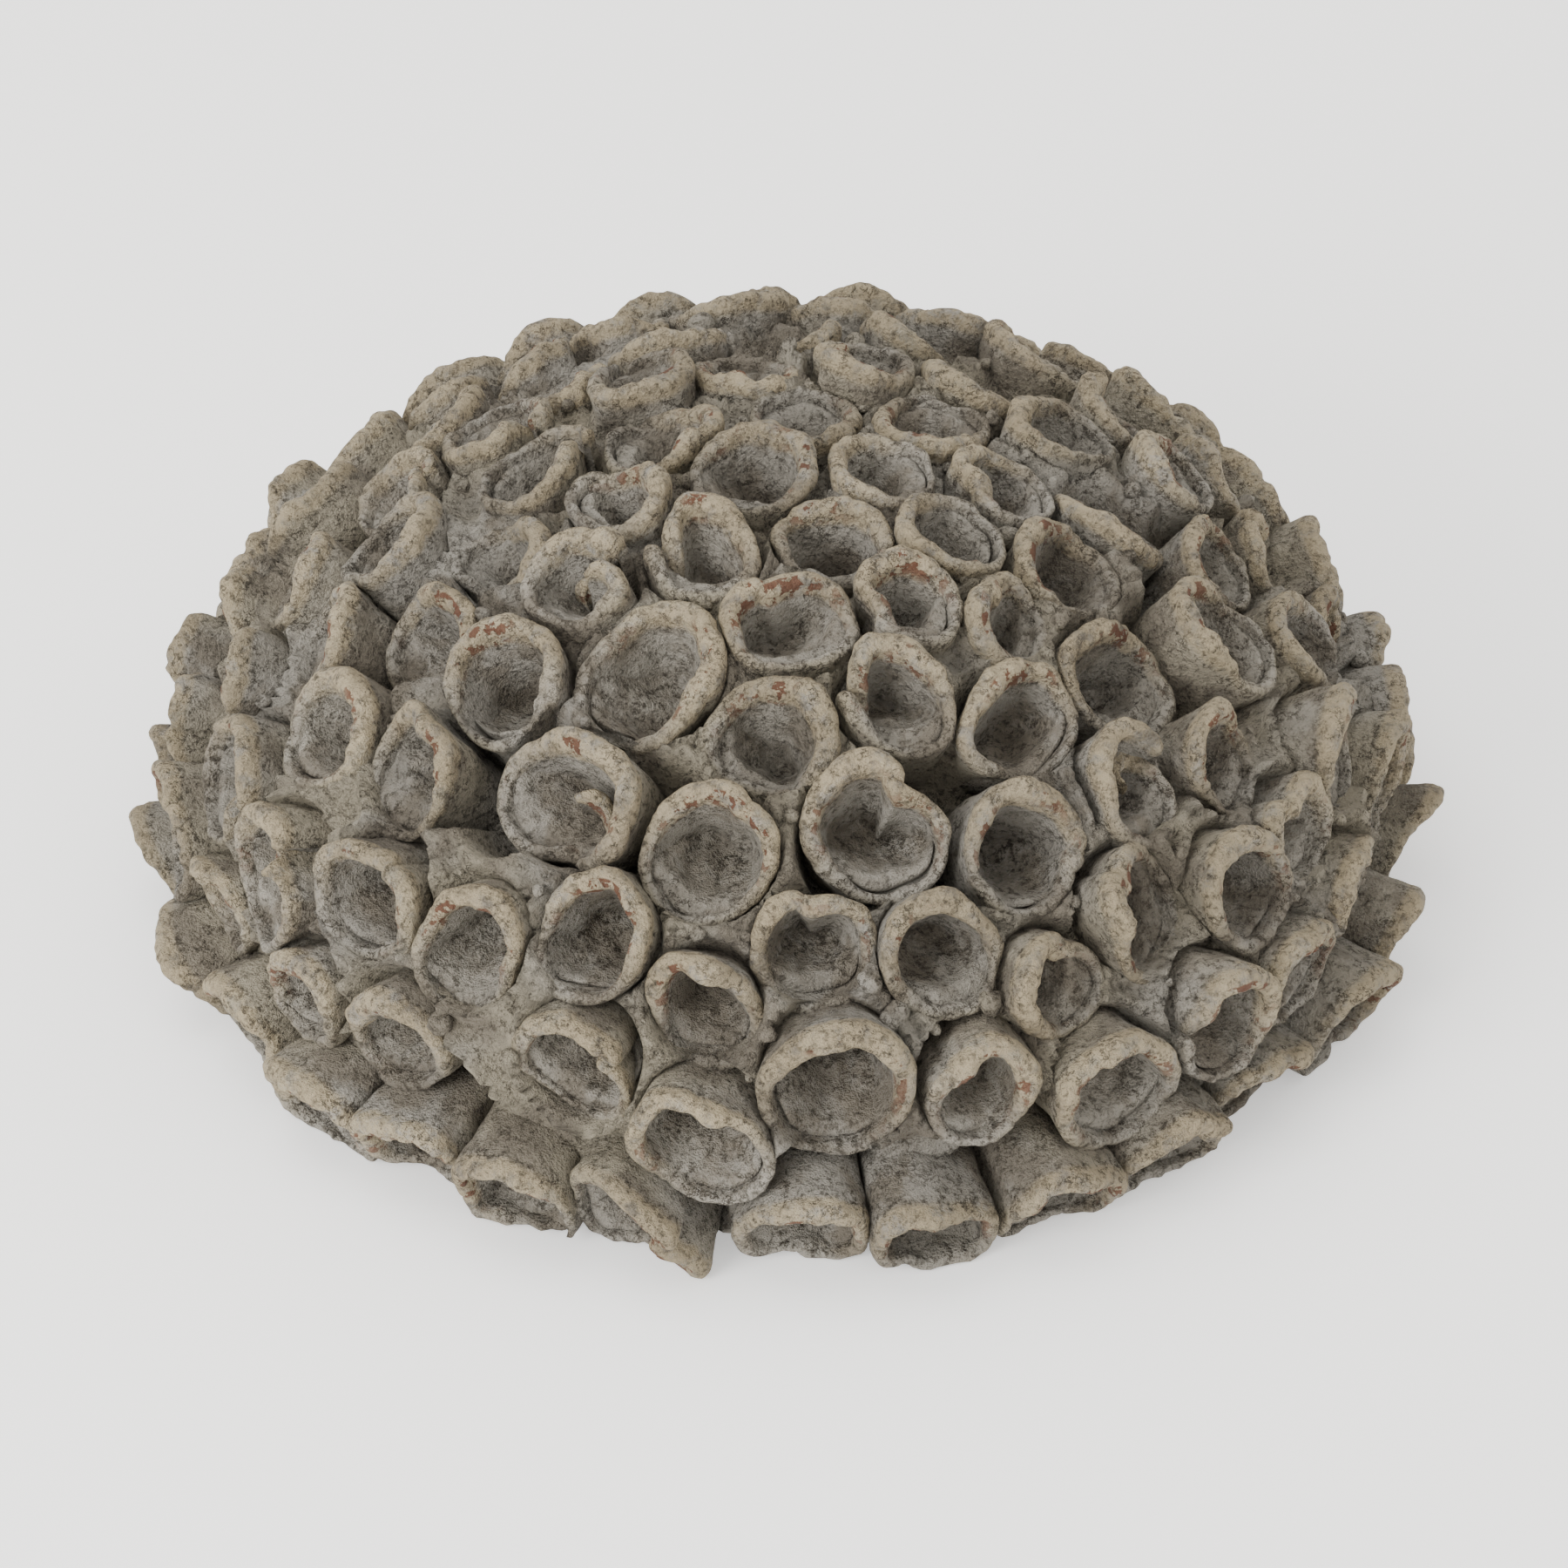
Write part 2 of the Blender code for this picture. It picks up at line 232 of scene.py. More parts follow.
# %% Join the cups into clusters
def clusters_of(cups):
    """Lists of cups in one body, after the smallest cluster has joined its best neighbour time after time."""
    mouths = np.array([cup["mouth"] for cup in cups])
    radii = np.array([cup["radius"] for cup in cups])
    rows = np.array([cup["row"] for cup in cups])
    spacing = np.linalg.norm(mouths[:, None] - mouths[None], axis=2) / (radii[:, None] + radii[None])
    clusters = [[k] for k in range(len(cups)) if rows[k] < CROWN_ROWS]
    crown = len(clusters)
    clusters += [[k] for k in range(len(cups)) if rows[k] >= CROWN_ROWS]
    while len(clusters) > CLUSTERS:
        choices = []
        for a in range(crown, len(clusters)):
            for b in range(crown, a):
                first, second = clusters[a], clusters[b]
                near = spacing[np.ix_(first, second)].min()
                if near < LUTING_REACH:
                    tall = np.ptp(rows[first + second])
                    choices.append((max(len(first), len(second)), len(first + second), tall, near, a, b))
        *_, a, b = min(choices)
        clusters[b] = sorted(clusters[b] + clusters[a])
        del clusters[a]
    return sorted(clusters)


clusters = {}
numbers = {}
for members in clusters_of(cups):
    row = cups[members[0]]["row"] + 1
    numbers[row] = numbers.get(row, 0) + 1
    kind = "cup" if len(members) == 1 else "cups"
    clusters[f"{kind}_row{row}_{numbers[row]:02d}"] = members
print(len(cups), "cups in", len(clusters), "clusters")

# %% [markdown]
# A rule repeated in two files can drift apart, so each cluster is measured: the middle of its cups must
# lie inside the box of the CAD node of the same name.

# %% Check the rule against the frame
astray = []
for name, members in clusters.items():
    low, high = (np.array(corner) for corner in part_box(name))
    middle = np.mean([(cups[k]["mouth"] + cups[k]["foot"]) / 2 for k in members], axis=0)
    if (middle < low).any() or (middle > high).any():
        astray.append(name)
print("clusters away from their CAD node:", astray or "none")
assert not astray, "the rule here is not the rule of the CAD model"

# %% [markdown]
# ## Lumpiness
# Nothing pressed by hand is even. One smooth random field, read at a few sizes, gives the swellings a
# finger leaves, the drag of wet slip and the crumbs of grog. Displacement modifiers with textures could
# do it, but an array that is added along the normals keeps every piece a plain mesh.


# %% Smooth random field and grid helpers
def lumps(points, size, seed):
    """Between -1 and 1: random values on a cubic lattice of that size, eased from corner to corner."""
    lattice = np.random.RandomState(seed).uniform(-1, 1, (32, 32, 32))
    cell = points / size
    corner = np.floor(cell).astype(int)
    ease = cell - corner
    ease = ease * ease * (3 - 2 * ease)
    total = np.zeros(points.shape[:-1])
    for step in np.ndindex(2, 2, 2):
        at = (corner + step) % 32
        near = np.where(np.array(step) == 1, ease, 1 - ease).prod(axis=-1)
        total += near * lattice[at[..., 0], at[..., 1], at[..., 2]]
    return total


def grid_normals(grid):
    """Unit normals of a grid of points: the cross product of its two directions of travel."""
    normal = np.cross(np.gradient(grid, axis=0), np.gradient(grid, axis=1))
    return normal / (np.linalg.norm(normal, axis=-1, keepdims=True) + 1e-12)


def eased(value, low, high):
    """0 below low, 1 above high, and an S-shaped ease between."""
    t = np.clip((value - low) / (high - low), 0, 1)
    return t * t * (3 - 2 * t)


places = np.array([[0, 0, 0.01], [0.01, 0, 0], [0, 0.02, 0]])
print("lumps at three places:", lumps(places, 0.004, 1).round(2))

# %% [markdown]
# ## Meshes from grids of points
# Every surface here is a grid of points that closes into a ring one way. A pole in the middle of its
# first and last rings closes the two ends, so each is a solid with its faces outwards. The marks that
# the clay's colour needs travel with the points: how much of a lip it is, whether it lies inside a
# cup, how deep it lies, and a shade lighter or darker.


# %% Collect grids and make a mesh of them
class Shell:
    """Collects grids of points and their marks, and makes one mesh object of them."""

    def __init__(self):
        self.points, self.quads, self.fans, self.marks, self.count = [], [], [], [], 0

    def add(self, points, quads, fans, marks):
        """points (n, 3), quads (m, 4) and fans (m, 3) of point numbers, marks (n, 4) as named in make."""
        self.points.append(points)
        self.quads.append(quads + self.count)
        self.fans.append(fans + self.count)
        self.marks.append(marks)
        self.count += len(points)

    def make(self, name):
        """One smooth mesh object of everything collected; quads come first, then the fans' triangles."""
        points = np.concatenate(self.points).astype(np.float32)
        quads = np.concatenate(self.quads).astype(np.int32)
        fans = np.concatenate(self.fans).astype(np.int32)
        marks = np.concatenate(self.marks).astype(np.float32)
        corners = np.concatenate([quads.ravel(), fans.ravel()])
        starts = np.concatenate([np.arange(len(quads)) * 4, quads.size + np.arange(len(fans)) * 3])
        mesh = bpy.data.meshes.new(name)
        mesh.vertices.add(len(points))
        mesh.vertices.foreach_set("co", points.ravel())
        mesh.loops.add(len(corners))
        mesh.loops.foreach_set("vertex_index", corners)
        mesh.polygons.add(len(starts))
        mesh.polygons.foreach_set("loop_start", starts.astype(np.int32))
        mesh.update(calc_edges=True)
        mesh.shade_smooth()
        for column, mark in enumerate(("lip", "inside", "depth", "tone")):
            layer = mesh.attributes.new(mark, "FLOAT", "POINT")
            layer.data.foreach_set("value", np.ascontiguousarray(marks[:, column]))
        piece = bpy.data.objects.new(name, mesh)
        bpy.context.scene.collection.objects.link(piece)
        return piece


def wrapped_quads(rows, columns):
    """Quads of a grid that closes into a ring: a point, one row on, one row and column on, one column on."""
    i = np.arange(rows - 1)[:, None]
    j = np.arange(columns)[None]
    j2 = (j + 1) % columns
    corners = (i * columns + j, (i + 1) * columns + j, (i + 1) * columns + j2, i * columns + j2)
    return np.stack(corners, -1).reshape(-1, 4)


def pole_fan(pole, ring_start, columns, flip):
    """Triangles from a pole to a ring of points; flip turns them over."""
    j = np.arange(columns)
    j2 = (j + 1) % columns
    order = (ring_start + j, ring_start + j2) if flip else (ring_start + j2, ring_start + j)
    return np.stack([np.full(columns, pole), *order], -1)


def add_capped(shell, grid, marks):
    """Adds a grid whose second direction is a ring, with a pole in the middle of its first and last rings."""
    rows, columns = grid.shape[:2]
    ends = np.stack([grid[0].mean(axis=0), grid[-1].mean(axis=0)])
    end_marks = np.stack([marks[0].mean(axis=0), marks[-1].mean(axis=0)])
    points = np.concatenate([grid.reshape(-1, 3), ends])
    flat = np.concatenate([marks.reshape(-1, 4), end_marks])
    first = pole_fan(rows * columns, 0, columns, True)
    last = pole_fan(rows * columns + 1, (rows - 1) * columns, columns, False)
    shell.add(points, wrapped_quads(rows, columns), np.concatenate([first, last]), flat)


print("quads of a ring of 4 columns and 3 rows:", len(wrapped_quads(3, 4)))

# %% [markdown]
# ## How each cup came out
# Every cup is the same gesture with a different result: the slab is a little longer or shorter, so its
# ends overlap more or less or curl inwards; the mouth is tipped, squeezed oval or pinched up to a
# peak. These habits are drawn once for all cups, from one seed, so the piece is the same each time.

# %% Each cup's own habits
hand = np.random.RandomState(29)
for cup in cups:
    curled = hand.uniform() < 0.16
    peaked = hand.uniform() < 0.35
    lowest = cup["row"] == LIP_ROW
    cup["wall"] = hand.uniform(0.0027, 0.0034)
    cup["seam"] = hand.uniform(0, 2 * pi)
    cup["lap"] = hand.uniform(1.3, 2.1) if curled else hand.uniform(0.35, 0.8)  # overlap, in radians
    cup["curl"] = hand.uniform(0.22, 0.42) if curled else 0.0  # how far in the end curls, in radii
    cup["sunk"] = hand.uniform(0.0045, 0.0080) if curled else 0.0009  # how far the inner end drops
    # Over how many metres each end of the slab tapers
    cup["feather"] = 0.0018 if curled else hand.uniform(0.004, 0.011)
    cup["squash"] = 0.95 if curled else hand.choice([0.3, 0.4, 0.5, 0.85])  # overlap pressed thin
    cup["slant"] = hand.uniform(0.26, 0.42) if peaked else hand.uniform(0.04, 0.24)
    cup["slant"] = cup["slant"] * (0.5 if cup["row"] < 3 else 1)
    cup["plump"] = hand.uniform(0.93, 1.02) * (1.25 if lowest else 1)  # low cups sag until they touch
    cup["slant_at"] = pi / 2 + hand.normal(0, 0.3 if lowest else 0.5)
    cup["saddle"] = hand.uniform(0.02, 0.12) if peaked else hand.uniform(-0.04, 0.06)
    cup["oval"] = hand.uniform(0, 0.18)
    cup["oval_at"] = hand.uniform(0, pi)
    cup["flare"] = hand.uniform(-0.0002, 0.0008)
    cup["hollow"] = hand.uniform(0.0100, 0.0160)  # depth of the thumb's push
    cup["spill"] = hand.uniform(0.0030, 0.0105)  # how high the floor runs up the downhill side
    cup["tone"] = hand.uniform(-1, 1)
print("most curled cup laps", round(max(cup["lap"] for cup in cups) * 180 / pi), "degrees")

# %% [markdown]
# ### The lip and the waist
# Two curves belong to every cup. The lip is tipped, high at its peak and low across from it, and a little
# saddle-shaped. The body spreads at the foot, where it was luted down, and is drawn in above it.


# %% Curves of the lip and the waist
def lip_lift(cup, angle):
    """Rise of the lip: radius * (slant * (cos a - 0.75) + saddle * cos 2a), with a counted from the peak."""
    turned = angle - cup["slant_at"]
    return cup["radius"] * (cup["slant"] * (np.cos(turned) - 0.75) + cup["saddle"] * np.cos(2 * turned))


def waist(level):
    """A cup's width at a level 0-1, as a share of its mouth: spread at the foot, drawn in above it."""
    return 0.93 + 0.07 * level**1.3 + 0.09 * (1 - level) ** 3


print("waist at foot, middle and mouth:", [round(waist(level), 3) for level in (0, 0.5, 1)])

# %% [markdown]
# ## Pressed against the neighbours
# Soft cups set side by side flatten each other. Between two cups lies a plane, nearer to the smaller
# one, that neither crosses; the table is one more plane for the lowest row. A cup's reach in some
# direction is a blend of its own radius and the way to each plane. The blend is a power mean, which
# rounds the corners as clay does, where the CAD model takes the plain minimum.

# %% Planes between cups, and the reach they leave
mouths = np.array([cup["mouth"] for cup in cups])
BLEND = 12
NEAR = 2.2 * PITCH
PLANE_BITE = 0.0001
LEAST_WAY = 0.0015


def pressing_planes(k):
    """Planes that cup k is pressed against, each a point and the direction that the cup stays behind."""
    cup = cups[k]
    planes = [(np.array([0, 0, TABLE_GAP]), np.array([0, 0, -1.0]))]
    for j in np.flatnonzero(np.linalg.norm(mouths - cup["mouth"], axis=1) < NEAR):
        other = cups[j]
        if j == k:
            continue
        share = cup["radius"] / (cup["radius"] + other["radius"])
        top = cup["mouth"] + share * (other["mouth"] - cup["mouth"])
        bottom = cup["foot"] + share * (other["foot"] - cup["foot"])
        along = (top - bottom) / np.linalg.norm(top - bottom)
        across = other["mouth"] - cup["mouth"] + other["foot"] - cup["foot"]
        across = across - along * (across @ along)
        across = across / np.linalg.norm(across)
        planes.append((bottom + across * PLANE_BITE, across))
    return planes


def reach(centre, direction, free, planes):
    """Smooth least of the free radius and the ways to the planes: (sum of way ** -BLEND) ** (-1 / BLEND)."""
    total = free ** -BLEND
    for point, across in planes:
        closing = direction @ across
        way = ((point - centre) @ across) / np.maximum(closing, 1e-6)
        total = total + np.where(closing > 1e-6, np.maximum(way, LEAST_WAY) ** -BLEND, 0)
    return total ** (-1 / BLEND)


print("planes round the first cup:", len(pressing_planes(0)))

# %% [markdown]
# ## The rolled slab
# A cup's wall is a strip of clay with two ends, not a ring. So the surface runs along the strip in one
# direction, a little more than once round, and round the strip's own section in the other: up the
# outside, over the rounded lip, down the inside and back across the bottom. Towards its end the strip
# winds inwards under its own beginning, which leaves the overlap and the crack that every rolled cup
# shows. A turned shape would be quicker but would have neither.

# %% The strip as a surface
ALONG = 100
WALL_STEPS = 14
LIP_STEPS = 9
REACH_STEPS = 8


def strip_section():
    """Level 0-1 up the cup, side -1 (inside) to 1 (outside) and lip rounding for points round the section."""
    rising = np.linspace(0, 1, WALL_STEPS) ** 0.8
    over = np.linspace(pi / 2, -pi / 2, LIP_STEPS + 2)[1:-1]
    level = np.concatenate([rising, np.ones(LIP_STEPS), rising[::-1]])
    side = np.concatenate([np.ones(WALL_STEPS), np.sin(over), -np.ones(WALL_STEPS)])
    crown = np.concatenate([np.zeros(WALL_STEPS), np.cos(over), np.zeros(WALL_STEPS)])
    return level, side, crown


def rolled_strip(k):
    """Points (along, round, 3): centre line + direction * (reach - inset - half wall + side * half wall).

    The angle runs from the seam once round and on by the lap; the inset winds the end under the start.
    """
    cup = cups[k]
    s = np.linspace(0, 1, ALONG)
    s = s + 0.012 * np.sin(2 * pi * s)
    turn = (2 * pi + cup["lap"]) * s
    angle = cup["seam"] + turn
    level, side, crown = strip_section()
    level, side, crown = level[None], side[None], crown[None]
    radius, wall = cup["radius"], cup["wall"]

    direction = cup["side"] * np.cos(angle)[:, None] + cup["up"] * np.sin(angle)[:, None]
    steps = np.linspace(0, 1, REACH_STEPS + 1)
    centre = cup["foot"] + (cup["mouth"] - cup["foot"]) * steps[:, None]
    ripple = np.stack([np.cos(angle), np.sin(angle), np.full_like(angle, k * 1.7)], -1)
    free = cup["plump"] * radius * (1 + cup["oval"] * np.cos(2 * (angle - cup["oval_at"])))[:, None]
    free = free * (1 + 0.06 * lumps(ripple, 0.8, 4))[:, None]
    coarse = reach(centre[None], direction[:, None], free * waist(steps)[None], pressing_planes(k))
    spot = level[0] * REACH_STEPS
    lower = np.minimum(spot.astype(int), REACH_STEPS - 1)
    outer = coarse[:, lower] * (1 - (spot - lower)) + coarse[:, lower + 1] * (spot - lower)
    outer = outer + cup["flare"] * eased(level, 0.6, 1.0)

    length = (2 * pi + cup["lap"]) * radius
    thin = []
    for way in (s[:, None] * length, (1 - s[:, None]) * length):
        share = 1 - np.clip(way / cup["feather"], 0, 1)
        thin.append(np.sqrt(np.clip(1 - share**2, 0.0004, 1)))
    blunt = thin[0] * thin[1]
    peak = np.cos(angle - cup["slant_at"])[:, None]
    full = wall * (1.10 - 0.10 * level) * (1 + 0.10 * eased(level, 0.75, 0.97)) * (0.94 + 0.34 * peak)
    thick = full * blunt
    wound = eased(turn, 2 * pi - 1.1, 2 * pi - 0.05)[:, None] * full * cup["squash"]
    inward = eased(turn, 2 * pi + 0.2 * cup["lap"], 2 * pi + cup["lap"])[:, None] ** 1.5
    wound = wound + cup["curl"] * radius * inward
    smoothed = 0.5 * full * (thin[0] - thin[1]) * (cup["curl"] == 0)
    middle = outer - wound - 0.5 * full + smoothed
    bowl = wall * 1.3 * (1 - level) ** 1.3 * blunt  # the thumb leaves the wall thicker lower down
    span = middle + side * 0.5 * thick - np.where(side < 0, bowl, 0)

    edge = radius * (0.07 * lumps(ripple, 0.55, 5) + 0.035 * lumps(ripple, 0.17, 6))
    lift = (lip_lift(cup, angle) + edge)[:, None] * level**1.6
    lift = lift - cup["sunk"] * eased(turn, 2 * pi - 0.4, 2 * pi + 0.6)[:, None] * level
    lift = lift + crown * 0.5 * thick
    line = cup["foot"] + (cup["mouth"] - cup["foot"]) * level[0][:, None]
    grid = line[None] + direction[:, None] * span[..., None] + cup["axis"] * lift[..., None]

    # The wash lay thickest on the uphill side of the lip
    lip = np.maximum(crown > 0, eased(level, 0.80, 1.0)) * (0.66 + 0.34 * peak)
    rough = 0.00060 * lumps(grid, 0.0075, 11) + 0.00030 * lumps(grid, 0.0030, 12)
    rough = rough + (0.00012 + 0.00016 * lip) * lumps(grid, 0.0014, 13)
    grid = grid + grid_normals(grid) * (rough * blunt)[..., None]
    grid[..., 2] = np.maximum(grid[..., 2], TABLE_GAP)
    inside = eased(-side, -0.6, 0.6) * np.ones_like(span)
    depth = (1 - level) * np.ones_like(span)
    marks = np.stack([lip, inside, depth, cup["tone"] + rough / 0.0008], -1)
    return grid, marks


grid, marks = rolled_strip(0)
print("one strip has", grid.shape[0], "by", grid.shape[1], "points")

# %% [markdown]
# ## The thumbed floor
# The maker closes the cup by pushing clay down with a thumb. The floor is a shallow bowl that climbs into
# the wall all round, higher on the downhill side, where the clay spilled out towards the lip. It is
# a closed plug: down from the middle of the bowl's face, out to the wall, and back under to the foot.
# Its edge hides inside the thickness of the wall.

# %% The floor as a surface
ROUND = 56
ACROSS = 13
BOWL = 0.0062
LEAST_FLOOR = 0.0045
BELOW_LIP = 0.0010


def thumbed_floor(k):
    """Points (rings, round, 3) of the plug; its face climbs as bowl * (1 - root of (1 - 0.96 share**2))."""
    cup = cups[k]
    angle = np.linspace(0, 2 * pi, ROUND, endpoint=False)
    length = np.linalg.norm(cup["mouth"] - cup["foot"])
    bottom = max(length - cup["hollow"], LEAST_FLOOR)
    direction = cup["side"] * np.cos(angle)[:, None] + cup["up"] * np.sin(angle)[:, None]
    share = np.concatenate([np.linspace(0.05, 1, ACROSS), [1.0, 0.9, 0.5]])
    face = np.concatenate([np.ones(ACROSS), [0.45, 0.12, 0.12]])
    planes = pressing_planes(k)
    level = np.clip((bottom + 0.003) / length, 0, 1)
    centre = cup["foot"] + (cup["mouth"] - cup["foot"]) * level
    free = cup["plump"] * cup["radius"] * (1 + cup["oval"] * np.cos(2 * (angle - cup["oval_at"])))
    wide = reach(centre[None], direction, free * waist(level), planes) - 0.55 * cup["wall"]
    spill = cup["spill"] * (0.5 - 0.5 * np.cos(angle - cup["slant_at"]))
    climb = BOWL * (1 - np.sqrt(1 - 0.96 * share[:, None] ** 2)) + spill[None] * share[:, None] ** 1.6
    climb = climb - 0.0042 * share[:, None] * np.cos(angle - cup["slant_at"])[None]  # deepest under the peak
    height = np.minimum(bottom + climb, length + lip_lift(cup, angle)[None] - BELOW_LIP)
    height = height * face[:, None]
    grid = (
        cup["foot"]
        + cup["axis"] * height[..., None]
        + direction[None] * (share[:, None] * wide[None])[..., None]
    )
    slide = (cup["mouth"] - cup["foot"]) / length - cup["axis"]
    grid = grid + slide * height[..., None]
    creases = 0.0018 * (np.abs(lumps(grid, 0.0046, 24)) - 0.3)  # sharp valleys where the field crosses zero
    rough = 0.0013 * lumps(grid, 0.0062, 21) + 0.0007 * lumps(grid, 0.0026, 22)
    rough = rough + 0.0003 * lumps(grid, 0.0013, 23)
    rough = rough + creases
    rough = rough * face[:, None] * (0.35 + 0.65 * (1 - share[:, None] ** 3))
    grid = grid + cup["axis"] * rough[..., None]
    grid[..., 2] = np.maximum(grid[..., 2], TABLE_GAP)
    deep = np.clip(1.25 - height / length, 0, 1)
    marks = np.stack([np.zeros_like(deep), np.ones_like(deep), deep, cup["tone"] + rough / 0.0012], -1)
    return grid, marks


grid, marks = thumbed_floor(0)
print("one floor has", grid.shape[0], "by", grid.shape[1], "points")

# %% [markdown]
# ## Clusters of cups
# Each CAD node holds one to four cups that are luted together. Its detailed piece gets the same cups,
# rides with the body and hides the plain node, which stays for collision.


# %% Make the cups
for name, members in clusters.items():
    shell = Shell()
    for k in members:
        add_capped(shell, *rolled_strip(k))
        add_capped(shell, *thumbed_floor(k))
    piece = shell.make("rolled_" + name)
    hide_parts(name)
    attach(piece, "root")
cup_pieces = [o for o in bpy.data.objects if o.name.startswith("rolled_")]
print(len(cup_pieces), "pieces of cups,", sum(len(o.data.polygons) for o in cup_pieces), "faces")

# %% [markdown]
# ## The dome and the slip between the cups
# The dome is a pressed shell, open below, with the slip that was worked in between the cups lying on
# it. Its section is carried round the middle: down the outside, across the foot, and up the inside. On
# the outside it is raised wherever there is no cup above it, highest close to a cup's wall, as
# slip creeps up what it touches.

# %% The dome as a surface
AROUND = 430
OUTSIDE = 120
INSIDE = 46
UNDER = 5
CROWN_HOLE = 0.012
SLIP = 0.0092
LOW_BAND = 0.024
LOW_SLIP = 0.0125

axes = np.array([cup["axis"] for cup in cups])
feet = np.array([cup["foot"] for cup in cups])
radii = np.array([cup["radius"] for cup in cups])


def gap_beside(points):
    """How far each point is outside the nearest cup's wall, and outside the second nearest."""
    beside = np.empty((2,) + points.shape[:-1])
    for row in range(len(points)):
        away = points[row][:, None] - feet[None]
        along = (away * axes[None]).sum(axis=-1)
        across = np.linalg.norm(away - axes[None] * along[..., None], axis=-1)
        gap = np.sort(across - radii[None] * waist(np.clip(along / CUP_LENGTH, 0, 1)), axis=1)
        beside[:, row] = gap[:, 0], gap[:, 1]
    return beside


def dome_shell():
    """Points (section, round, 3) from crown to foot outside, over the foot, and up to the crown inside."""
    bearing = np.linspace(0, 2 * pi, AROUND, endpoint=False)
    low = -np.arcsin(WIDEST_LEVEL / DOME_RISE)
    rise = np.linspace(pi / 2 - CROWN_HOLE, low, OUTSIDE)[:, None]
    level = DOME_RADIUS * np.cos(rise)
    height = (WIDEST_LEVEL + DOME_RISE * np.sin(rise)) + 0 * bearing
    base = np.stack([level * np.sin(bearing), -level * np.cos(bearing), height], -1)
    outward = (base - [0, 0, WIDEST_LEVEL]) / np.array([DOME_RADIUS, DOME_RADIUS, DOME_RISE]) ** 2
    outward[..., 2] = np.maximum(outward[..., 2], 0)  # below its widest line the slip stands upright
    outward = outward / np.linalg.norm(outward, axis=-1, keepdims=True)
    beside = gap_beside(base + outward * 0.010)
    fill = SLIP + 0.0072 * np.exp(-np.clip(beside[0], 0, 1) / 0.0026)
    fill = fill + 0.0045 * eased(beside[0], 0.0020, 0.0060)  # a bare patch was filled with a mound of slip
    fill = fill + 0.0030 * lumps(base, 0.014, 31) + 0.0013 * lumps(base, 0.0042, 32)
    fill = fill + 0.0006 * lumps(base, 0.002, 33)
    fill = fill * eased(-beside[0], 0.004, 0.0) + 0.002
    fill = np.where(base[..., 2] < LOW_BAND, np.minimum(fill, LOW_SLIP), fill)
    fill = fill * eased(base[..., 2], -0.002, 0.003)
    outside = base + outward * fill[..., None]
    depth = np.clip(1 - fill / CUP_LENGTH, 0, 1)

    inner_low = -np.arcsin(WIDEST_LEVEL / (DOME_RISE - DOME_WALL))
    inner_rise = np.linspace(inner_low, pi / 2 - CROWN_HOLE, INSIDE)[:, None]
    inner = (DOME_RADIUS - DOME_WALL) * np.cos(inner_rise)
    height = (WIDEST_LEVEL + (DOME_RISE - DOME_WALL) * np.sin(inner_rise)) + 0 * bearing
    inside = np.stack([inner * np.sin(bearing), -inner * np.cos(bearing), height], -1)
    pressed_in = 0.0009 * lumps(inside, 0.016, 34) + 0.0004 * lumps(inside, 0.005, 35)
    inside = inside + grid_normals(inside) * (pressed_in * eased(inside[..., 2], 0.0, 0.006))[..., None]
    across = np.linspace(0, 1, UNDER + 2)[1:-1, None, None]
    foot = outside[-1][None] * (1 - across) + inside[0][None] * across
    grid = np.concatenate([outside, foot, inside])
    under = np.concatenate([np.zeros(OUTSIDE), np.ones(UNDER), np.ones(INSIDE)])[:, None] + 0 * bearing
    deep = np.concatenate([depth, np.full((UNDER + INSIDE, AROUND), 0.35)])
    marks = np.stack([0 * deep, under, deep, 0.4 * lumps(grid, 0.03, 36) + 0.6 * lumps(grid, 0.0042, 32)], -1)
    return grid, marks


shell = Shell()
grid, marks = dome_shell()
add_capped(shell, grid, marks)
dome = shell.make("pressed_dome")
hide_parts("dome_body")
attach(dome, "root")
print("dome faces", len(dome.data.polygons), "lowest point", round(float(grid[..., 2].min()) * 1000, 2), "mm")

# %% [markdown]
# ## Crumbs of clay
# Little balls and crumbs fell between the cups while the slip was wet and were fired in place. Each is
# a lumpy ball of a few dozen faces, set where the gap beside the cups is narrow, on the slip.


# %% Scatter the crumbs
CRUMBS = 130


def crumb_points(centre, size, seed):
    """A ball of rings and columns whose radius is swollen and dented by the random field."""
    polar = np.linspace(0, pi, 7)[1:-1, None]
    turn = np.linspace(0, 2 * pi, 9, endpoint=False)
    level = np.cos(polar) + 0 * turn
    ball = np.stack([np.sin(polar) * np.cos(turn), np.sin(polar) * np.sin(turn), level], -1)
    return centre + ball * (size * (1 + 0.35 * lumps(ball + seed, 0.9, 41)))[..., None]


shell = Shell()
scatter = np.random.RandomState(53)
outside_grid = grid[8 : OUTSIDE - 10]
gaps = gap_beside(outside_grid)[0]
places = np.argwhere((gaps > 0.0002) & (gaps < 0.0022))
chosen = places[scatter.permutation(len(places))[:CRUMBS]]
for number, (i, j) in enumerate(chosen):
    size = scatter.uniform(0.0008, 0.0017) if scatter.uniform() < 0.85 else scatter.uniform(0.0018, 0.0026)
    ball = crumb_points(outside_grid[i, j], size, number * 2.3)
    ball_marks = np.zeros(ball.shape[:2] + (4,)) + [0.25, 0.0, 0.35, scatter.uniform(-1, 1)]
    add_capped(shell, ball, ball_marks)
crumbs = shell.make("clay_crumbs")
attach(crumbs, "root")
print(len(chosen), "crumbs")

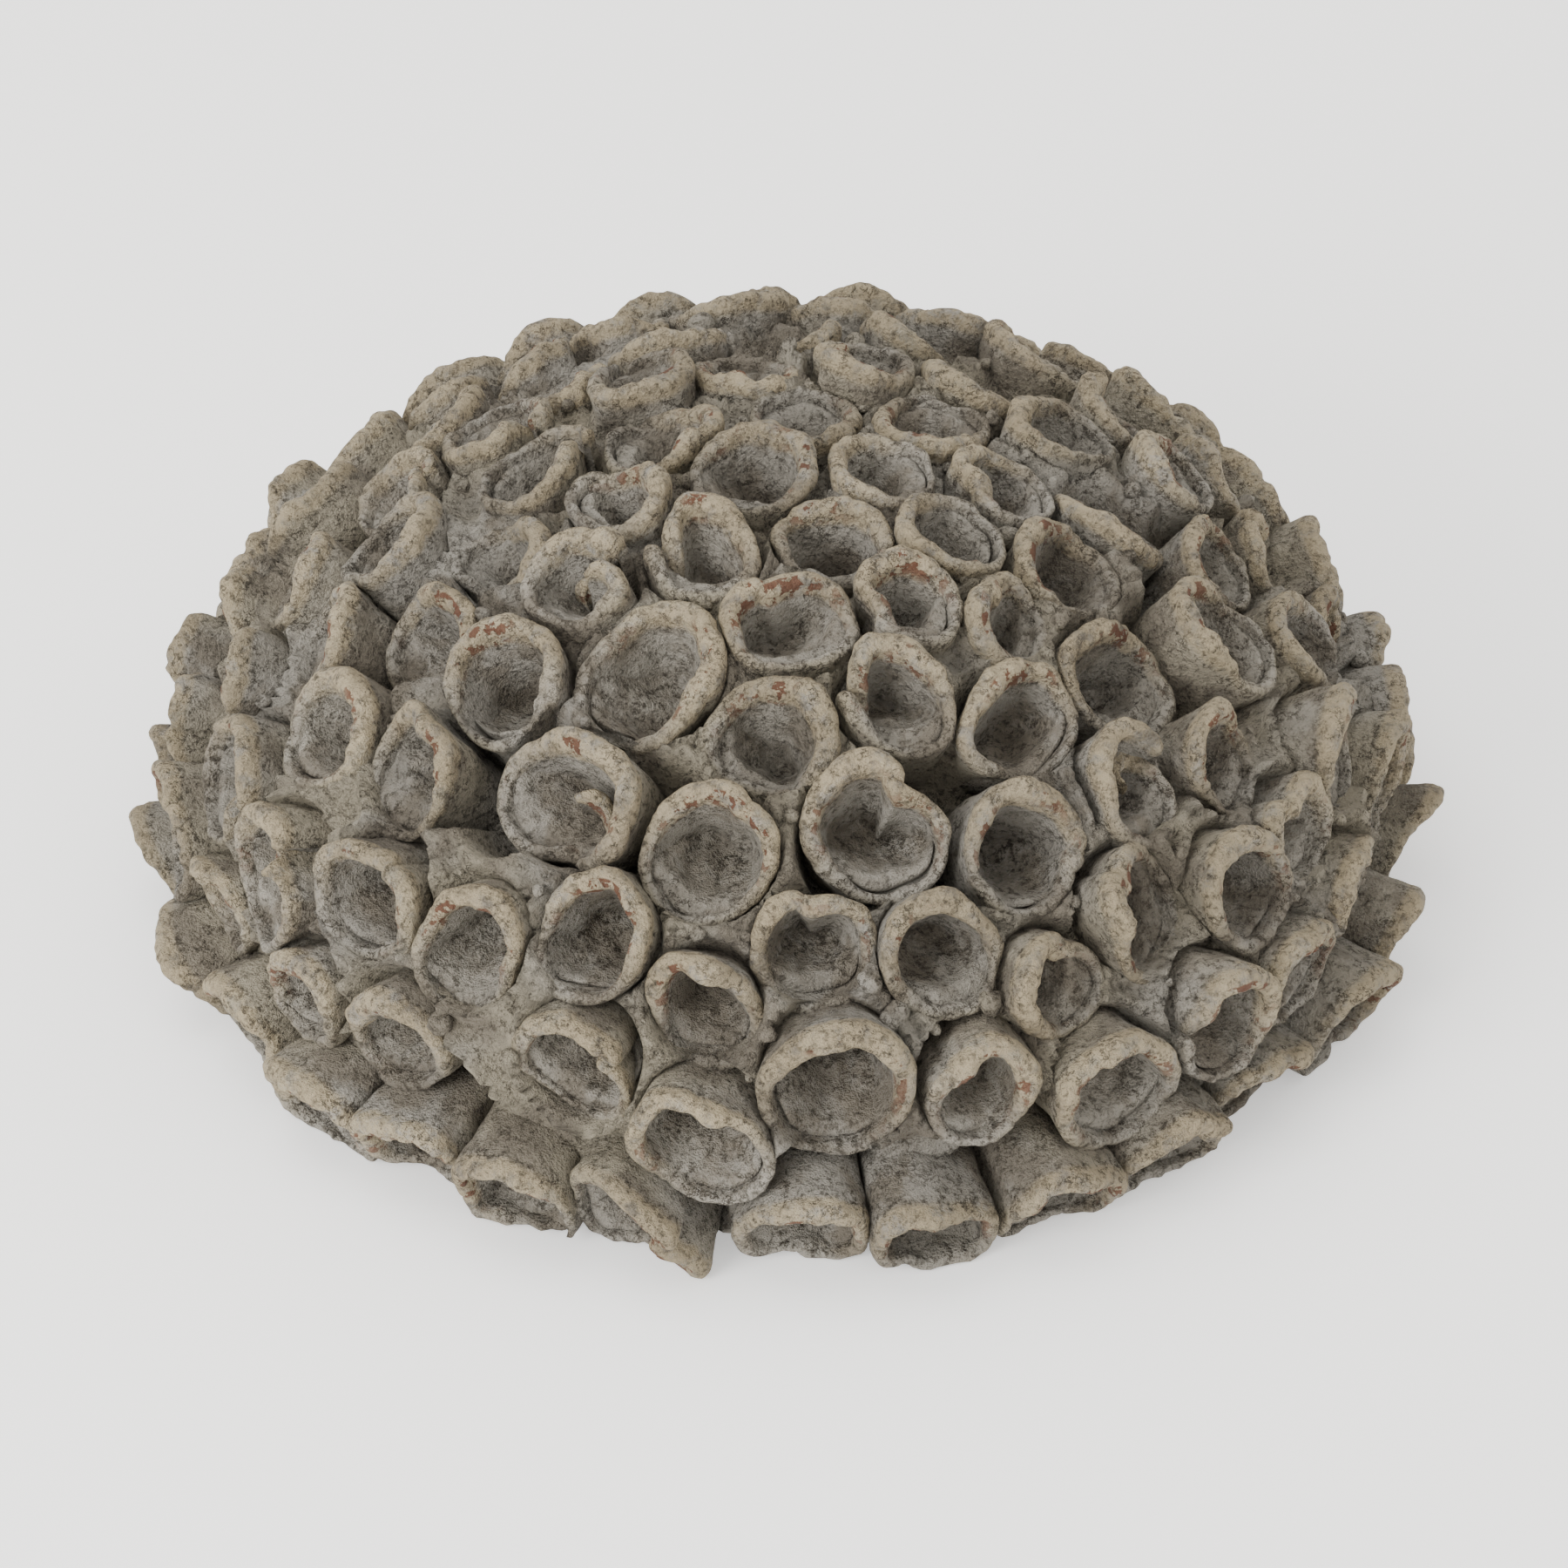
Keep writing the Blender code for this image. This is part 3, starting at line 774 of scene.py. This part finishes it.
# %% [markdown]
# ## Limewashed terracotta
# Common red earthenware, fired unglazed, brushed with a thin wash of lime and pale clay, then handled
# and weathered. To the eye it is dead matt. The wash is grey and smooth where a thumb slid inside
# the cups, cream where it built up on the lips, and browner outside. Dirt lies in specks in the
# hollows, a thin olive stain runs over the walls, and the brick-red body shows where the lips have
# chipped. Each of these is a layer mixed over the last by a mask from noise of that size and
# the marks the surfaces carry.


# %% Colours and nodes
def linear(code):
    """An sRGB hex colour as linear red, green, blue and alpha."""
    value = np.array([int(code[i : i + 2], 16) / 255 for i in (1, 3, 5)])
    value = np.where(value <= 0.04045, value / 12.92, ((value + 0.055) / 1.055) ** 2.4)
    return (*value, 1.0)


def add_node(tree, kind, settings=None, out=0, **links):
    """Adds a node with its settings, links or sets the inputs named in_NUMBER, and returns output out."""
    node = tree.nodes.new(kind)
    for key, value in (settings or {}).items():
        setattr(node, key, value)
    for key, value in links.items():
        socket = node.inputs[int(key[3:])]
        if isinstance(value, bpy.types.NodeSocket):
            tree.links.new(value, socket)
        else:
            socket.default_value = value
    return node.outputs[out]


BODY_RED = "#633F2F"
WASH_GREY = "#9A958B"
WASH_BEIGE = "#978F7D"
LIP_CREAM = "#AC9D80"
STAIN = "#797164"
DIRT = "#3B352C"
# The gap colour is painted shade: it darkens the outsides of the cups towards their feet and the slip deep
# between them.
PAINTED_GAP_SHADE = "#332E27"
SMOOTH = {"interpolation_type": "SMOOTHSTEP"}
TIMES = {"operation": "MULTIPLY"}

# %% [markdown]
# Each noise below is as fine as the thing it stands for: grit 0.55 mm, specks 1.5 mm, hairline cracks
# that wander over 4 mm, patches of wash and blotches of dirt 4 to 6 mm, and slow drifts of colour over
# 15 to 32 mm. The Noise Texture's scale counts features in a metre, so it is 1000 over the size in mm. A
# crack is where its noise passes through the middle of its range, which gives thin broken lines.


# %% The material
def washed_clay(name):
    """Layers, from below: wash, inner grey, stain, lip cream, dirt, cracks, red chips, painted shade deep
    between the cups.
    """
    material = bpy.data.materials.new(name)
    material.use_nodes = True
    tree = material.node_tree
    shader = tree.nodes["Principled BSDF"]
    where = add_node(tree, "ShaderNodeTexCoord", out=3)
    lip, inside, depth, tone = (
        add_node(tree, "ShaderNodeAttribute", {"attribute_name": key}, out=2)
        for key in ("lip", "inside", "depth", "tone")
    )
    grit, speck, crack, patch, blotch, slow, drift, nick, wide = (
        add_node(tree, "ShaderNodeTexNoise", in_0=where, in_2=1000 / mm, in_3=octaves, in_4=rough)
        for mm, octaves, rough in (
            (0.55, 2.0, 0.60), (1.5, 5.0, 0.72), (4.0, 5.0, 0.62), (4.2, 4.0, 0.65),
            (6.0, 5.0, 0.66), (15.0, 5.0, 0.58), (32.0, 2.0, 0.55), (2.8, 4.0, 0.65), (21.0, 1.0, 0.55),
        )
    )
    gritty, dusty = (
        add_node(tree, "ShaderNodeMath", {"operation": "MULTIPLY_ADD"}, in_0=grit, in_1=share, in_2=noise)
        for share, noise in ((0.25, patch), (0.80, speck))
    )
    outer, sunk = (
        add_node(tree, "ShaderNodeMath", {"operation": "MULTIPLY_ADD"}, in_0=mark, in_1=times, in_2=plus)
        for mark, times, plus in ((inside, -1.0, 1.0), (depth, 0.65, 0.30))
    )
    line = add_node(tree, "ShaderNodeMath", {"operation": "COMPARE"}, in_0=crack, in_1=0.5, in_2=0.012)
    (
        drifting, stained, patchy, crest, foot_of_lip, specks, blotchy, dust,
        nicks, worn, inner_edge, low, deep, stained_floor,
    ) = (
        add_node(tree, "ShaderNodeMapRange", SMOOTH, in_0=value, in_1=start, in_2=end)
        for value, start, end in (
            (drift, 0.38, 0.62), (slow, 0.47, 0.60), (gritty, 0.42, 0.66), (lip, 0.30, 0.90),
            (lip, 0.02, 0.40), (speck, 0.48, 0.62), (blotch, 0.38, 0.60), (dusty, 0.94, 1.12),
            (nick, 0.53, 0.55), (wide, 0.44, 0.54), (inside, 0.35, 0.60), (depth, 0.25, 0.85),
            (depth, 0.40, 0.80), (patch, 0.34, 0.60),
        )
    )
    # Deep inside the cups: the mask of a floor stain that is partly painted shade.
    floor = add_node(tree, "ShaderNodeMath", TIMES, in_0=deep, in_1=inside)
    below_crest = add_node(tree, "ShaderNodeMath", {"operation": "SUBTRACT"}, in_0=foot_of_lip, in_1=crest)
    colour = linear(WASH_BEIGE)
    for over, amount, masks in (
        (WASH_GREY, 1.0, (drifting,)),
        (WASH_GREY, 0.80, (inside,)),
        (STAIN, 0.88, (stained,)),
        # The cup floors and low inner walls: a real stain in patches, and painted shade that grows deeper
        # down the cup.
        (STAIN, 0.70, (floor, stained_floor)),
        (LIP_CREAM, 0.82, (crest, patchy)),
        (DIRT, 0.85, (specks, blotchy, sunk)),
        (DIRT, 0.60, (specks, below_crest)),
        (DIRT, 0.25, (specks, crest)),
        (DIRT, 0.42, (dust,)),
        (DIRT, 0.75, (line, blotchy)),
        (DIRT, 0.55, (line, below_crest)),
        (BODY_RED, 0.90, (nicks, worn, crest, inner_edge)),
        # Painted shade: outer surfaces grow darker the deeper they lie between the cups.
        (PAINTED_GAP_SHADE, 0.22, (low, outer)),
    ):
        share = amount
        for mask in masks:
            share = add_node(tree, "ShaderNodeMath", TIMES, in_0=share, in_1=mask)
        colour = add_node(
            tree, "ShaderNodeMix", {"data_type": "RGBA"}, 2, in_0=share, in_6=colour, in_7=linear(over)
        )
    value = add_node(tree, "ShaderNodeMath", {"operation": "MULTIPLY_ADD"}, in_0=tone, in_1=0.115, in_2=1.0)
    toned = add_node(tree, "ShaderNodeHueSaturation", in_2=value, in_4=colour)
    tree.links.new(toned, shader.inputs["Base Color"])

    shader.inputs["Roughness"].default_value = 0.93
    shader.inputs["Specular IOR Level"].default_value = 0.25
    grain = 0.0
    for mark, amount in ((grit, 0.4), (speck, 0.8), (nicks, -0.15), (line, -0.20)):
        grain = add_node(
            tree, "ShaderNodeMath", {"operation": "MULTIPLY_ADD"}, in_0=mark, in_1=amount, in_2=grain
        )
    bump = add_node(tree, "ShaderNodeBump", in_0=1.0, in_1=0.0029, in_3=grain)
    tree.links.new(bump, shader.inputs["Normal"])
    return material


clay = washed_clay("limewashed_terracotta")
for piece in cup_pieces + [dome, crumbs]:
    piece.data.materials.append(clay)
print("nodes in the clay:", len(clay.node_tree.nodes))

# %% [markdown]
# ## Floor, light and camera
# A pale sweep of floor and soft light from above and a little to the left keep the attention on the
# shadows inside the cups. The camera looks down at 39 degrees from a metre away.

# %% The floor and the lights
bpy.ops.mesh.primitive_plane_add(size=6, location=(0, 0, -0.0002))
floor = bpy.context.object
floor.name = "pale_floor"
pale = bpy.data.materials.new("matt_white_paper")
pale.use_nodes = True
paper = pale.node_tree.nodes["Principled BSDF"]
paper.inputs["Base Color"].default_value = linear("#F8F7F5")
paper.inputs["Emission Color"].default_value = linear("#FFFFFF")
paper.inputs["Emission Strength"].default_value = 0.45
paper.inputs["Roughness"].default_value = 0.95
floor.data.materials.append(pale)

world = bpy.data.worlds.new("soft_studio")
world.use_nodes = True
sky = world.node_tree.nodes["Background"]
sky.inputs["Color"].default_value = linear("#F6F5F3")
sky.inputs["Strength"].default_value = 1.78
bpy.context.scene.world = world


def soft_light(name, place, size, watts):
    """A square lamp at that place, turned to the middle of the object."""
    data = bpy.data.lights.new(name, "AREA")
    data.energy, data.size = watts, size
    lamp = bpy.data.objects.new(name, data)
    bpy.context.scene.collection.objects.link(lamp)
    lamp.location = place
    lamp.rotation_euler = (Vector((0, 0, 0.04)) - Vector(place)).to_track_quat("-Z", "Y").to_euler()
    return lamp


soft_light("overhead", (-0.35, 0.05, 1.2), 0.7, 4)
soft_light("front_left", (-0.95, -1.0, 0.70), 0.7, 23)
print("lamps placed")

# %% The camera
ELEVATION = radians(39)
DISTANCE = 1.0
AIM_UP = 0.0019
AIM_LEFT = 0.0003
camera_data = bpy.data.cameras.new("camera")
camera_data.lens = 117.2
camera_data.sensor_width = 36
camera = bpy.data.objects.new("camera", camera_data)
bpy.context.scene.collection.objects.link(camera)
middle = Vector((0, 0, WIDEST_LEVEL))
back = Vector((0, -cos(ELEVATION), sin(ELEVATION)))
above = Vector((0, sin(ELEVATION), cos(ELEVATION)))
camera.location = middle + back * DISTANCE
aim = middle + above * AIM_UP + Vector((-AIM_LEFT, 0, 0))
camera.rotation_euler = (aim - camera.location).to_track_quat("-Z", "Y").to_euler()
bpy.context.scene.camera = camera
print("camera at", [round(x, 3) for x in camera.location])
